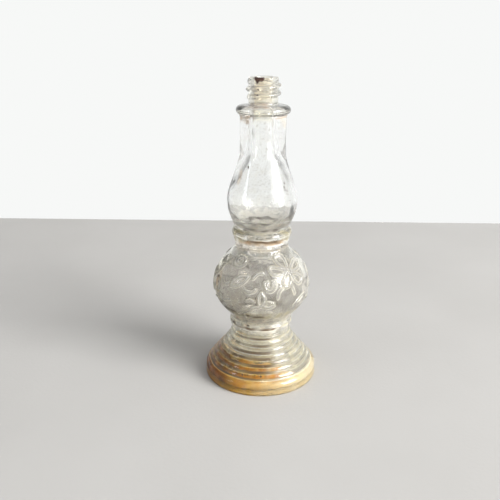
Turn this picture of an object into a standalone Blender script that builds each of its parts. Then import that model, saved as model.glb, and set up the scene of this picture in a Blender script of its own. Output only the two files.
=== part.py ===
"""Small screw-top glass bottle in the shape of an oil lamp.

The glass is one hollow moulding. It is divided here at its own mould rings into named
sections that stack up the Z axis with a hair of clearance between them, and the dried
residue in the foot and on the lip are pieces of their own.

Metres, +Z up. The origin is the centre of the circle that the foot stands on.
"""

import math

import bmesh
import bpy

MM = 0.001
GAP = 0.3 * MM                  # clearance between sections that touch on the real bottle
AROUND = 32                     # segments around a turned section
MERGE = 0.00001                 # distance within which turned profiles close up

# Driving heights above the surface the foot stands on.
HEIGHT = 115.0 * MM             # top of the lip
UPPER_COLLAR_TOP = 105.4 * MM
UPPER_COLLAR_FOOT = 101.9 * MM
LOWER_COLLAR_TOP = 60.3 * MM
GLOBE_TOP = 53.4 * MM
WAIST_TOP = 24.7 * MM
WAIST_FOOT = 20.2 * MM
BAND_TOP = 5.5 * MM

# Driving radii.
NECK_RADIUS = 5.3 * MM
BORE_RADIUS = 3.2 * MM
UPPER_COLLAR_RADIUS = 9.85 * MM
CHIMNEY_BORE = 3.5 * MM
THROAT_RADIUS = 4.6 * MM
LOWER_COLLAR_RADIUS = 11.35 * MM
WAIST_BORE = 7.2 * MM
WAIST_RADIUS = 12.27 * MM
BAND_RADIUS = 22.3 * MM
BAND_INSIDE = 19.9 * MM
FLOOR_TOP = 2.6 * MM
FLOOR_RAISE = 0.8 * MM          # how far the underside panel is pushed up

# Screw thread: right-handed, just over two turns.
THREAD_PITCH = 2.65 * MM
THREAD_CREST = 6.45 * MM
THREAD_BEAD = 0.75 * MM
THREAD_LOW = 107.93 * MM
THREAD_START = math.radians(150.0)
THREAD_TURNS = 2.1
THREAD_STEPS_PER_TURN = 28
THREAD_FADE = 0.12              # share of the thread that tapers away at each end

# Outline of each shaped wall, as (radius, height) in millimetres from top to bottom.
CHIMNEY_OUTSIDE = [
    (8.42, 101.6), (8.35, 97.5), (8.35, 91.5), (8.55, 87.5), (9.2, 84.6), (10.4, 81.0),
    (12.0, 76.5), (12.9, 73.3), (13.1, 70.6), (12.75, 67.6), (11.7, 64.4), (10.05, 60.6),
]
CHIMNEY_INSIDE = [
    (3.5, 101.6), (3.6, 92.0), (4.1, 89.0), (5.1, 86.0), (6.8, 82.8), (8.6, 79.3),
    (10.4, 75.8), (11.6, 72.4), (11.8, 69.6), (11.1, 66.6), (9.4, 64.0), (6.2, 62.4),
    (4.6, 61.7), (4.6, 60.6),
]
GLOBE_OUTSIDE = [
    (10.1, 53.4), (11.5, 51.3), (13.9, 48.6), (16.1, 46.2), (17.6, 42.8), (18.35, 39.4),
    (18.4, 36.0), (17.5, 32.8), (15.8, 30.0), (13.6, 27.5), (12.0, 25.0),
]
GLOBE_INSIDE = [
    (4.6, 53.4), (5.2, 52.3), (8.4, 50.6), (12.0, 47.6), (14.6, 44.8), (16.2, 41.4),
    (16.8, 37.6), (16.2, 34.0), (14.6, 30.8), (11.8, 28.2), (8.6, 26.4), (7.2, 25.0),
]
STEP_EDGES = [
    (11.0, 19.9), (11.2, 18.3), (12.25, 15.9), (13.65, 13.7), (15.1, 11.9), (16.75, 9.85),
    (18.35, 7.9), (20.1, 5.8),
]
STEP_BULGE = 0.32               # how far each step stands out between its two edges
FOOT_INSIDE = [(7.2, 19.9), (9.2, 16.6), (11.6, 13.6), (14.8, 9.9), (17.9, 5.8)]


def clear_scene():
    """Remove everything that the default scene holds."""
    for item in list(bpy.data.objects):
        bpy.data.objects.remove(item, do_unlink=True)


def make_collection(name):
    """Return a new collection linked to the scene."""
    collection = bpy.data.collections.new(name)
    bpy.context.scene.collection.children.link(collection)
    return collection


def make_material(name, colour, roughness, clear=0.0):
    """Return a Principled material, clear for glass."""
    material = bpy.data.materials.new(name)
    material.use_nodes = True
    shader = material.node_tree.nodes["Principled BSDF"]
    shader.inputs["Base Color"].default_value = (*colour, 1.0)
    shader.inputs["Roughness"].default_value = roughness
    shader.inputs["Metallic"].default_value = 0.0
    shader.inputs["Transmission Weight"].default_value = clear
    shader.inputs["IOR"].default_value = 1.5
    return material


def smooth(points, per_span=2):
    """Return points on a Catmull-Rom curve through (radius, height) points."""
    ends = [points[0]] + list(points) + [points[-1]]
    curve = []
    for index in range(1, len(ends) - 2):
        before, start, stop, after = ends[index - 1:index + 3]
        for step in range(per_span):
            t = step / per_span
            curve.append(tuple(
                0.5 * (2 * b + (c - a) * t + (2 * a - 5 * b + 4 * c - d) * t * t
                       + (3 * b - a - 3 * c + d) * t ** 3)
                for a, b, c, d in zip(before, start, stop, after)
            ))
    curve.append(tuple(points[-1]))
    return curve


def in_metres(points):
    """Return (radius, height) points given in millimetres, in metres."""
    return [(radius * MM, height * MM) for radius, height in points]


def arc(centre_radius, centre_height, wide, tall, start, stop, count):
    """Return points on an ellipse quarter or half, angles in degrees from outward."""
    points = []
    for step in range(count + 1):
        angle = math.radians(start + (stop - start) * step / count)
        radius = centre_radius + wide * math.cos(angle)
        points.append((radius, centre_height + tall * math.sin(angle)))
    return points


def ribbed(edges, bulge, count=3):
    """Return an outline that swells a little between each pair of step edges."""
    points = []
    for (r0, z0), (r1, z1) in zip(edges, edges[1:]):
        length = math.hypot(r1 - r0, z1 - z0)
        out_r = (z0 - z1) / length
        out_z = (r1 - r0) / length
        for step in range(count):
            t = step / count
            swell = bulge * math.sin(math.pi * t)
            points.append((r0 + (r1 - r0) * t + out_r * swell, z0 + (z1 - z0) * t + out_z * swell))
    points.append(edges[-1])
    return points


def turn(name, outline, closed, material, collection, steps=AROUND):
    """Turn an outline of (radius, height) points around the Z axis.

    A closed outline is a ring section, and an open one starts and ends on the axis.
    """
    mesh = bpy.data.meshes.new(name)
    shape = bmesh.new()
    corners = [shape.verts.new((radius, 0.0, height)) for radius, height in outline]
    for start, stop in zip(corners, corners[1:]):
        shape.edges.new((start, stop))
    if closed:
        shape.edges.new((corners[-1], corners[0]))
    shape.to_mesh(mesh)
    shape.free()
    piece = bpy.data.objects.new(name, mesh)
    collection.objects.link(piece)
    mesh.materials.append(material)
    screw = piece.modifiers.new("turned", "SCREW")
    screw.axis = "Z"
    screw.angle = math.tau
    screw.steps = steps
    screw.render_steps = steps
    screw.use_merge_vertices = True
    screw.merge_threshold = MERGE
    screw.use_smooth_shade = True
    return piece


def as_mesh(piece, name, collection):
    """Return a curve object's evaluated shape as a welded mesh object, and drop the curve."""
    graph = bpy.context.evaluated_depsgraph_get()
    mesh = bpy.data.meshes.new_from_object(piece.evaluated_get(graph))
    shape = bmesh.new()
    shape.from_mesh(mesh)
    bmesh.ops.remove_doubles(shape, verts=shape.verts, dist=MERGE)
    bmesh.ops.recalc_face_normals(shape, faces=shape.faces)
    shape.to_mesh(mesh)
    shape.free()
    solid = bpy.data.objects.new(name, mesh)
    solid.matrix_world = piece.matrix_world
    collection.objects.link(solid)
    bpy.data.objects.remove(piece, do_unlink=True)
    return solid


def make_thread(collection):
    """Return the thread's rounded ridge, which tapers away at both ends."""
    count = round(THREAD_TURNS * THREAD_STEPS_PER_TURN)
    curve = bpy.data.curves.new("thread_path", "CURVE")
    curve.dimensions = "3D"
    curve.bevel_depth = THREAD_BEAD
    curve.bevel_resolution = 2
    curve.use_fill_caps = True
    path = curve.splines.new("POLY")
    path.points.add(count)
    for index in range(count + 1):
        share = index / count
        angle = THREAD_START + share * THREAD_TURNS * math.tau
        size = min(1.0, 0.25 + 0.75 * min(share, 1.0 - share) / THREAD_FADE)
        radius = THREAD_CREST - THREAD_BEAD - (1.0 - size) * THREAD_BEAD
        height = THREAD_LOW + share * THREAD_TURNS * THREAD_PITCH
        path.points[index].co = (radius * math.cos(angle), radius * math.sin(angle), height, 1.0)
        path.points[index].radius = size
    ridge = bpy.data.objects.new("thread_path", curve)
    collection.objects.link(ridge)
    bpy.context.view_layer.update()
    ridge = as_mesh(ridge, "thread_ridge", collection)
    ridge.hide_render = True
    ridge.display_type = "WIRE"
    return ridge


def make_threaded_neck(material, collection, cutters):
    """Make the mouth: a thick tube with a flat lip and the screw thread for a cap."""
    foot = UPPER_COLLAR_TOP + GAP
    edge = 0.4 * MM
    outline = arc(NECK_RADIUS - edge, HEIGHT - edge, edge, edge, 90, 0, 3)
    outline += [(NECK_RADIUS, foot), (BORE_RADIUS, foot)]
    outline += arc(BORE_RADIUS + edge, HEIGHT - edge, -edge, edge, 0, 90, 3)
    neck = turn("threaded_neck", outline, True, material, collection)
    union = neck.modifiers.new("thread", "BOOLEAN")
    union.operation = "UNION"
    union.solver = "EXACT"
    union.object = make_thread(cutters)
    return neck


def make_upper_collar(material, collection):
    """Make the rounded ring that stands for the lamp chimney's rolled top."""
    middle = (UPPER_COLLAR_TOP + UPPER_COLLAR_FOOT) / 2
    half = (UPPER_COLLAR_TOP - UPPER_COLLAR_FOOT) / 2
    root = UPPER_COLLAR_RADIUS - 2.25 * MM
    outline = arc(root, middle, UPPER_COLLAR_RADIUS - root, half, 90, -90, 10)
    outline += [(CHIMNEY_BORE - 0.1 * MM, UPPER_COLLAR_FOOT), (BORE_RADIUS, UPPER_COLLAR_TOP)]
    return turn("upper_collar", outline, True, material, collection)


def make_shell(name, outside, inside, material, collection):
    """Make a hollow section from its outer and inner walls, both listed top to bottom."""
    outline = in_metres(outside) + in_metres(reversed(inside))
    return turn(name, outline, True, material, collection)


def make_lower_collar(material, collection):
    """Make the bead below the chimney, with the short tapered neck under it."""
    bead_middle = 58.7 * MM
    bead_foot = 57.2 * MM
    bead_root = 9.6 * MM
    neck_top = 10.85 * MM
    neck_foot = 10.1 * MM
    foot = GLOBE_TOP + GAP
    bead = LOWER_COLLAR_RADIUS - bead_root
    outline = arc(bead_root, bead_middle, bead, LOWER_COLLAR_TOP - bead_middle, 90, 0, 5)
    outline += arc(bead_root, bead_middle, bead, bead_middle - bead_foot, 0, -45, 3)[1:]
    outline += [(neck_top, bead_foot), (neck_foot, foot), (THROAT_RADIUS, foot)]
    outline += [(THROAT_RADIUS, LOWER_COLLAR_TOP)]
    return turn("lower_collar", outline, True, material, collection)


def make_waist_ring(material, collection):
    """Make the bead between the globe and the foot."""
    middle = 22.8 * MM
    root = 10.7 * MM
    outline = arc(root, middle, WAIST_RADIUS - root, 2.6 * MM, 42, 0, 4)
    outline += arc(root, middle, WAIST_RADIUS - root, middle - WAIST_FOOT, 0, -78, 5)[1:]
    outline[0] = (outline[0][0], WAIST_TOP)
    outline += [(outline[-1][0], WAIST_FOOT), (WAIST_BORE, WAIST_FOOT), (WAIST_BORE, WAIST_TOP)]
    return turn("waist_ring", outline, True, material, collection)


def make_stepped_foot(material, collection):
    """Make the cone of small steps that spreads from the waist to the foot band."""
    return make_shell("stepped_foot", ribbed(STEP_EDGES, STEP_BULGE), FOOT_INSIDE, material, collection)


def make_foot_band(material, collection):
    """Make the upright band at the bottom, which the bottle stands on."""
    shoulder = 20.3 * MM
    edge = 0.5 * MM
    inside_top = 18.2 * MM
    outline = arc(shoulder, 3.0 * MM, 1.6 * MM, BAND_TOP - 3.0 * MM, 90, 0, 6)
    outline += arc(BAND_RADIUS - edge, edge, edge, edge, 0, -90, 3)
    outline += [(BAND_INSIDE, 0.0), (BAND_INSIDE, FLOOR_TOP), (inside_top, BAND_TOP)]
    return turn("foot_band", outline, True, material, collection)


def make_foot_floor(material, collection):
    """Make the floor of the bottle, pushed up so that it stands on the band alone."""
    rim = BAND_INSIDE - GAP
    slope = 2.0 * MM
    outline = [(0.0, FLOOR_TOP), (rim, FLOOR_TOP), (rim, 0.25 * MM), (rim - slope, FLOOR_RAISE)]
    outline += [(0.0, FLOOR_RAISE + 0.3 * MM)]
    return turn("foot_floor", outline, False, material, collection)


def make_foot_residue(material, collection):
    """Make the dried film in the foot: a thin dish over the floor and up the wall."""
    film = 0.45 * MM
    floor = FLOOR_TOP + GAP
    outside = [(15.0 * MM, 8.9 * MM), (17.55 * MM, 5.6 * MM), (19.1 * MM, floor + film), (19.1 * MM, floor)]
    inside = [(17.5 * MM, floor + film), (17.0 * MM, 5.4 * MM), (14.6 * MM, 8.7 * MM)]
    outline = [(0.0, floor + film)] + inside + outside + [(0.0, floor)]
    return turn("foot_residue", outline, False, material, collection)


def make_lip_residue(material, collection):
    """Make the scrap of dried matter that clings to the outside of the lip, front left."""
    inner = NECK_RADIUS + GAP
    outer = inner + 0.4 * MM
    top = HEIGHT - 0.1 * MM
    low = HEIGHT - 1.9 * MM
    start = math.radians(233.0)
    sweep = math.radians(40.0)
    count = 6
    shape = bmesh.new()
    section = []
    for radius, height in [(outer, top), (outer, low + 0.3 * MM), (inner, low), (inner, top)]:
        place = (radius * math.cos(start), radius * math.sin(start), height)
        section.append(shape.verts.new(place))
    face = shape.faces.new(section)
    bmesh.ops.spin(
        shape, geom=[face], cent=(0.0, 0.0, 0.0), axis=(0.0, 0.0, 1.0), angle=sweep, steps=count,
    )
    bmesh.ops.recalc_face_normals(shape, faces=shape.faces)
    mesh = bpy.data.meshes.new("lip_residue")
    shape.to_mesh(mesh)
    shape.free()
    mesh.materials.append(material)
    piece = bpy.data.objects.new("lip_residue", mesh)
    collection.objects.link(piece)
    return piece


def build():
    """Make every section of the bottle and the matter dried inside it."""
    clear_scene()
    bottle = make_collection("lamp_shaped_bottle")
    cutters = make_collection("joining_shapes")
    clear = make_material("clear_glass", (0.90, 0.93, 0.92), 0.03, clear=1.0)
    globe = make_material("globe_glass", (0.88, 0.90, 0.86), 0.05, clear=1.0)
    yellowed = make_material("yellowed_glass", (0.90, 0.84, 0.66), 0.05, clear=1.0)
    amber = make_material("amber_residue", (0.62, 0.34, 0.07), 0.30)
    brown = make_material("brown_residue", (0.14, 0.07, 0.05), 0.60)

    make_threaded_neck(clear, bottle, cutters)
    make_upper_collar(clear, bottle)
    make_shell("chimney", smooth(CHIMNEY_OUTSIDE), CHIMNEY_INSIDE, clear, bottle)
    make_lower_collar(clear, bottle)
    make_shell("globe", smooth(GLOBE_OUTSIDE), GLOBE_INSIDE, globe, bottle)
    make_waist_ring(globe, bottle)
    make_stepped_foot(yellowed, bottle)
    make_foot_band(yellowed, bottle)
    make_foot_floor(yellowed, bottle)
    make_foot_residue(amber, bottle)
    make_lip_residue(brown, bottle)


build()
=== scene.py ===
import math

import bmesh
import bpy
import numpy as np
from mathutils import Matrix, Vector


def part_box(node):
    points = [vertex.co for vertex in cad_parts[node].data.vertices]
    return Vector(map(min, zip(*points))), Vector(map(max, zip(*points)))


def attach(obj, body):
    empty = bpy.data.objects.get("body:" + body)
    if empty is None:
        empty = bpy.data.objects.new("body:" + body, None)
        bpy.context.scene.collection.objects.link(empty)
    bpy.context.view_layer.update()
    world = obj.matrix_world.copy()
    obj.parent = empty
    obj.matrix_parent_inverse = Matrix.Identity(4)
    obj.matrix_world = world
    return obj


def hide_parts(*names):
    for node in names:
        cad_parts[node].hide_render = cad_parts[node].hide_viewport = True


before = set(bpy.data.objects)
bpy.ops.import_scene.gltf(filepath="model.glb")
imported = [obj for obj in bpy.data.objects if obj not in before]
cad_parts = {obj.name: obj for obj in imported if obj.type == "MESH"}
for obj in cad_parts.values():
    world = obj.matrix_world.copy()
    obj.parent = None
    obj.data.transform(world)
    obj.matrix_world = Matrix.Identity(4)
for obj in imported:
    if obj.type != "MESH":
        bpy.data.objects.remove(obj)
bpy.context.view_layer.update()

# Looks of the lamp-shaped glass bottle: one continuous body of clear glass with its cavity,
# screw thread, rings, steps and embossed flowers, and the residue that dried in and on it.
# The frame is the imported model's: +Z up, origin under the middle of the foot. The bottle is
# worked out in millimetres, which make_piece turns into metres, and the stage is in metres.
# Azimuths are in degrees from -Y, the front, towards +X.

MM = 0.001

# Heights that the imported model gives, in millimetres.
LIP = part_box("threaded_neck")[1].z / MM
COLLAR_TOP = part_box("upper_collar")[1].z / MM
COLLAR_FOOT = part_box("upper_collar")[0].z / MM
BEAD_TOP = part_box("lower_collar")[1].z / MM
GLOBE_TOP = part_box("globe")[1].z / MM
GLOBE_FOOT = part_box("globe")[0].z / MM
WAIST_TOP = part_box("waist_ring")[1].z / MM
WAIST_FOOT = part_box("waist_ring")[0].z / MM
BAND_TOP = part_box("foot_band")[1].z / MM

RESIDUE_TOP = 12.0              # nothing dried in the foot reaches higher

COARSE = 160                    # vertices around the plain stretches
MIDDLE = 320                    # vertices around the foot and the waist
FINE = 640                      # vertices around the embossed globe


def turned_point(radius, azimuth, height):
    """Return points at a radius, an azimuth and a height."""
    a = np.radians(azimuth)
    return np.stack([radius * np.sin(a), -radius * np.cos(a), height + 0 * a], axis=-1)


# ---------------------------------------------------------------------------------------
# Outlines, as (radius, height) in millimetres
# ---------------------------------------------------------------------------------------

def arc(radius, height, wide, tall, start, stop, count):
    """Return points on an ellipse's arc, with angles in degrees from outward."""
    angles = np.radians(np.linspace(start, stop, count + 1))
    return [(radius + wide * math.cos(a), height + tall * math.sin(a)) for a in angles]


def smooth(points, per_span):
    """Return points on a Catmull-Rom curve through the points."""
    ends = [points[0]] + list(points) + [points[-1]]
    curve = []
    for index in range(1, len(ends) - 2):
        a, b, c, d = (np.array(point) for point in ends[index - 1:index + 3])
        for t in np.arange(per_span) / per_span:
            curve.append(tuple(
                0.5 * (2 * b + (c - a) * t + (2 * a - 5 * b + 4 * c - d) * t ** 2
                       + (3 * b - a - 3 * c + d) * t ** 3)
            ))
    return curve + [tuple(points[-1])]


def ribbed(edges, bulge, count):
    """Return an outline that swells between each pair of step edges."""
    points = []
    for (r0, z0), (r1, z1) in zip(edges, edges[1:]):
        length = math.hypot(r1 - r0, z1 - z0)
        for t in np.arange(count) / count:
            swell = bulge * math.sin(math.pi * t) ** 0.7
            points.append((
                r0 + (r1 - r0) * t + (z0 - z1) / length * swell,
                z0 + (z1 - z0) * t + (r1 - r0) / length * swell,
            ))
    return points + [edges[-1]]


def outside_outline():
    """Return the outer wall from the lip's crown to the middle of the underside."""
    lip_round = 0.55
    neck = 5.3
    upper_root = 7.7
    upper_middle = (COLLAR_TOP + COLLAR_FOOT) / 2 + 0.05
    upper_half = (COLLAR_TOP - COLLAR_FOOT) / 2 - 0.05
    outline = arc(neck - lip_round, LIP - lip_round, lip_round, lip_round, 90, 0, 5)
    outline += [(neck, z) for z in np.arange(LIP - 0.7, COLLAR_TOP + 1.0, -0.13)]
    outline += arc(neck + 0.75, COLLAR_TOP + 0.75, -0.75, -0.72, 0, 90, 5)
    outline += arc(upper_root, upper_middle, 2.15, upper_half, 90, -72, 16)
    outline += [(8.62, COLLAR_FOOT + 0.02), (8.5, COLLAR_FOOT - 0.3)]
    outline += smooth([
        (8.42, 101.2), (8.35, 97.5), (8.35, 91.5), (8.55, 87.5), (9.2, 84.6), (10.4, 81.0),
        (12.0, 76.5), (12.9, 73.3), (13.1, 70.6), (12.75, 67.6), (11.7, 64.4), (10.35, 61.3),
    ], 8)
    outline += [(10.1, BEAD_TOP + 0.45), (10.08, BEAD_TOP + 0.12), (10.25, BEAD_TOP)]
    outline += arc(10.5, 58.75, 0.85, BEAD_TOP - 58.8, 80, 0, 6)
    outline += arc(10.5, 58.75, 0.85, 1.45, 0, -68, 6)[1:]
    outline += [(10.78, 57.15), (10.72, 56.6), (10.5, 55.6), (10.25, 54.7), (10.1, 54.1)]
    outline += smooth([
        (10.15, GLOBE_TOP), (11.45, 51.3), (13.85, 48.6), (16.0, 46.2), (17.45, 42.8),
        (18.2, 39.4), (18.2, 36.2), (17.35, 32.8), (15.6, 29.8), (13.45, 27.3),
        (12.1, GLOBE_FOOT + 0.3),
    ], 16)
    outline += [(11.85, WAIST_TOP)]
    outline += arc(10.7, 22.6, 1.57, WAIST_TOP - 22.75, 65, 0, 6)
    outline += arc(10.7, 22.6, 1.57, 22.6 - WAIST_FOOT, 0, -72, 7)[1:]
    outline += [(10.95, 19.95)]
    outline += ribbed([
        (11.0, 19.7), (11.2, 18.3), (12.25, 15.9), (13.65, 13.7), (15.1, 11.9),
        (16.75, 9.85), (18.35, 7.9), (20.1, BAND_TOP + 0.3),
    ], 0.45, 12)
    outline += arc(20.25, 3.1, 1.68, BAND_TOP - 3.2, 84, 0, 8)
    outline += [(21.98, 2.3), (22.06, 1.4), (22.1, 0.8)]
    outline += arc(21.7, 0.42, 0.42, 0.42, 10, -90, 4)
    outline += [(20.8, 0.0), (20.2, 0.08), (19.4, 0.45), (18.2, 0.8), (14.0, 0.95), (9.0, 1.1)]
    outline += [(4.5, 1.15), (1.5, 1.2)]
    return outline


def inside_outline():
    """Return the cavity's wall from the middle of its floor up to the lip's crown."""
    outline = [(1.5, 3.1), (4.5, 3.05), (9.0, 2.85), (12.0, 2.6), (14.0, 2.35), (16.0, 2.05)]
    outline += arc(18.7, 3.0, 1.4, 1.3, -105, 0, 8)
    outline += [(20.08, 3.6), (19.9, 4.3), (19.4, 4.9)]
    outline += smooth([
        (18.7, 5.5), (17.7, 6.5), (14.8, 9.9), (11.6, 13.6), (9.2, 16.6), (7.6, 19.9), (7.0, 22.6),
        (7.6, 25.2), (9.2, 26.9), (12.0, 28.4), (14.6, 30.8), (16.1, 34.0), (16.6, 37.6),
        (16.1, 41.4), (14.5, 44.8), (12.0, 47.6), (8.6, 50.3), (5.6, 52.1), (4.6, 53.6),
        (4.4, 57.0), (4.4, 60.8), (4.5, 61.5), (4.9, 61.95), (6.6, 62.5), (9.3, 64.1), (11.0, 66.6),
        (11.7, 69.6), (11.5, 72.4), (10.3, 75.8), (8.5, 79.3), (6.7, 82.8), (5.1, 86.0),
        (4.1, 89.0), (3.65, 92.5), (3.5, 97.0), (3.4, 102.0), (3.25, 107.0), (3.2, 112.0),
        (3.2, 114.2),
    ], 5)
    outline += arc(3.65, LIP - 0.45, -0.45, 0.45, 20, 90, 4)
    return outline


# ---------------------------------------------------------------------------------------
# Relief on the outer wall
# ---------------------------------------------------------------------------------------

def ripple(points, wavelength, seed, stretch=1.0):
    """Return a smooth, repeatable unevenness of about unit size, drawn out upward by stretch."""
    rng = np.random.RandomState(seed)
    total = np.zeros(points.shape[:-1])
    waves = 9
    for _ in range(waves):
        direction = rng.normal(size=3)
        direction[2] /= stretch
        direction /= np.linalg.norm(direction)
        scale = math.tau / (wavelength * rng.uniform(0.7, 1.5))
        total += np.cos(points @ direction * scale + rng.uniform(0, math.tau))
    return total / math.sqrt(waves)


def between(value, low, high, soft):
    """Return 1 where a value lies from low to high, falling softly to 0 outside."""
    rise = np.clip((value - low) / soft + 1.0, 0.0, 1.0)
    fall = np.clip((high - value) / soft + 1.0, 0.0, 1.0)
    return rise * rise * (3 - 2 * rise) * fall * fall * (3 - 2 * fall)


def facing(azimuth, middle, half, soft):
    """Return 1 where an azimuth lies within half of the middle, falling softly outside."""
    away = np.abs((azimuth - middle + 180.0) % 360.0 - 180.0)
    return between(away, -1.0, half, soft)


def thread_height(azimuth, height):
    """Return how far the screw thread stands out, for arrays of azimuths and heights."""
    pitch = 2.65
    crest = 0.98
    half_width = 0.98
    start = 150.0
    low = LIP - 7.07
    turns = 2.1
    fade = 0.12
    angle = (azimuth - 90.0) % 360.0
    out = np.zeros(np.shape(azimuth))
    for turn in range(4):
        share = (angle + 360.0 * turn - start) / (360.0 * turns)
        offset = height - low - share * turns * pitch
        taper = np.clip(np.minimum(share, 1.0 - share) / fade, 0.0, 1.0)
        profile = np.clip(np.cos(np.clip(offset / half_width, -1, 1) * math.pi / 2), 0, 1) ** 0.8
        out = np.maximum(out, crest * np.sqrt(taper) * profile)
    return out


def seam_height(azimuth, radius):
    """Return the low mould seam that runs down the front and the back."""
    seam = 1.0
    height = 0.05
    spread = 0.16
    away = np.abs((azimuth - seam + 90.0) % 180.0 - 90.0)
    reach = np.radians(away) * radius
    return height * np.exp(-(reach / spread) ** 2)


def outside_uneven(points, azimuth):
    """Return how far the outer wall stands out from its turned shape."""
    radius = np.hypot(points[..., 0], points[..., 1])
    height = points[..., 2]
    neck = height > COLLAR_TOP + 0.6
    neck_share = 0.4
    flat_under = 1.5
    lift = 0.035 * ripple(points, 14.0, 3) + 0.012 * ripple(points, 4.0, 4)
    lift = np.where(neck, lift * neck_share + thread_height(azimuth, height), lift)
    lift = lift + RELIEF * np.exp(-(line_distance(points) / RELIEF_SPREAD) ** 2)
    return (lift + seam_height(azimuth, radius)) * np.clip(height / flat_under, 0.0, 1.0)


def inside_uneven(points, azimuth):
    """Return how far the cavity's wall stands in from its turned shape."""
    flat_middle = 6.0
    flat_mouth = 1.5
    radius = np.hypot(points[..., 0], points[..., 1])
    lift = 0.12 * ripple(points, 16.0, 11, 2.0) + 0.03 * ripple(points, 5.0, 12)
    lift = lift * np.clip(radius / flat_middle, 0.0, 1.0)
    return lift * np.clip((LIP - points[..., 2]) / flat_mouth, 0.0, 1.0)


class Wall:
    """One turned wall of the glass, with its unevenness.

    away points off the glass. upright lists the points of the side wall, lowest first, so that
    a height is looked up there and not on the floor or the underside.
    """

    def __init__(self, outline, uneven, downward):
        self.points = np.array(outline)
        slope = np.gradient(self.points, axis=0)
        away = np.stack([-slope[:, 1], slope[:, 0]], axis=1)
        self.away = away / np.linalg.norm(away, axis=1)[:, None]
        steps = np.linalg.norm(np.diff(self.points, axis=0), axis=1)
        self.length = np.concatenate([[0.0], np.cumsum(steps)])
        self.uneven = uneven
        low = int(np.argmin(self.points[:, 1]))
        upright = np.arange(low + 1) if downward else np.arange(low, len(self.points))
        self.upright = upright[np.argsort(self.points[upright, 1], kind="stable")]

    def level(self, height):
        """Return how far along the outline a height lies."""
        return np.interp(height, self.points[self.upright, 1], self.length[self.upright])

    def radius(self, height):
        """Return the wall's radius at a height."""
        return np.interp(height, self.points[self.upright, 1], self.points[self.upright, 0])

    def nearest(self, radius, height):
        """Return how far along the outline its own point nearest to a place lies."""
        away = np.hypot(self.points[:, 0] - radius, self.points[:, 1] - height)
        return float(self.length[np.argmin(away)])

    def at(self, along, azimuth, proud=0.0):
        """Return points on the wall, or standing proud of it."""
        radius = np.interp(along, self.length, self.points[:, 0])
        height = np.interp(along, self.length, self.points[:, 1])
        away_r = np.interp(along, self.length, self.away[:, 0])
        away_z = np.interp(along, self.length, self.away[:, 1])
        base = turned_point(radius, azimuth, height)
        out = turned_point(away_r, azimuth, away_z)
        return base + out * (self.uneven(base, azimuth) + proud)[..., None]


OUTSIDE = Wall(outside_outline(), outside_uneven, True)
INSIDE = Wall(inside_outline(), inside_uneven, False)


# ---------------------------------------------------------------------------------------
# Flowers embossed on the globe
# ---------------------------------------------------------------------------------------

RELIEF = 0.42                   # height of the raised lines
RELIEF_SPREAD = 0.33            # half their width


def place_on_globe(azimuth, height):
    """Return the point of the globe's turned shape at an azimuth and height."""
    return turned_point(float(OUTSIDE.radius(height)), azimuth, height)


def globe_patch(azimuth, height, points):
    """Lay flat (right, up) points on the globe around a place."""
    middle = place_on_globe(azimuth, height)
    a = math.radians(azimuth)
    right = np.array([math.cos(a), math.sin(a), 0.0])
    above = place_on_globe(azimuth, height + 0.5) - place_on_globe(azimuth, height - 0.5)
    above /= np.linalg.norm(above)
    laid = []
    for u, v in points:
        spot = middle + right * u + above * v
        laid.append(place_on_globe(math.degrees(math.atan2(spot[0], -spot[1])), spot[2]))
    return np.array(laid)


def petal(azimuth, height, direction, length, width):
    """Return a petal's outline, pointed at its root and round at its tip."""
    count = 22
    root = 0.1
    d = math.radians(direction)
    points = []
    for t in np.linspace(0.0, 1.0, count + 1):
        along = length * (root + (1.0 - root) * (1.0 - math.cos(math.tau * t)) / 2)
        across = width * 0.65 * math.sin(math.tau * t) * math.sin(math.pi * t)
        points.append((
            along * math.cos(d) - across * math.sin(d),
            along * math.sin(d) + across * math.cos(d),
        ))
    return globe_patch(azimuth, height, points)


def loop(azimuth, height, wide, tall, start=0, stop=360):
    """Return a part of an ellipse laid on the globe."""
    count = max(6, round(abs(stop - start) / 18))
    return globe_patch(azimuth, height, arc(0.0, 0.0, wide, tall, start, stop, count))


def stroke(azimuth, height, points):
    """Return a smooth line through a few (right, up) points laid on the globe."""
    return globe_patch(azimuth, height, smooth(points, 4))


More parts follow.
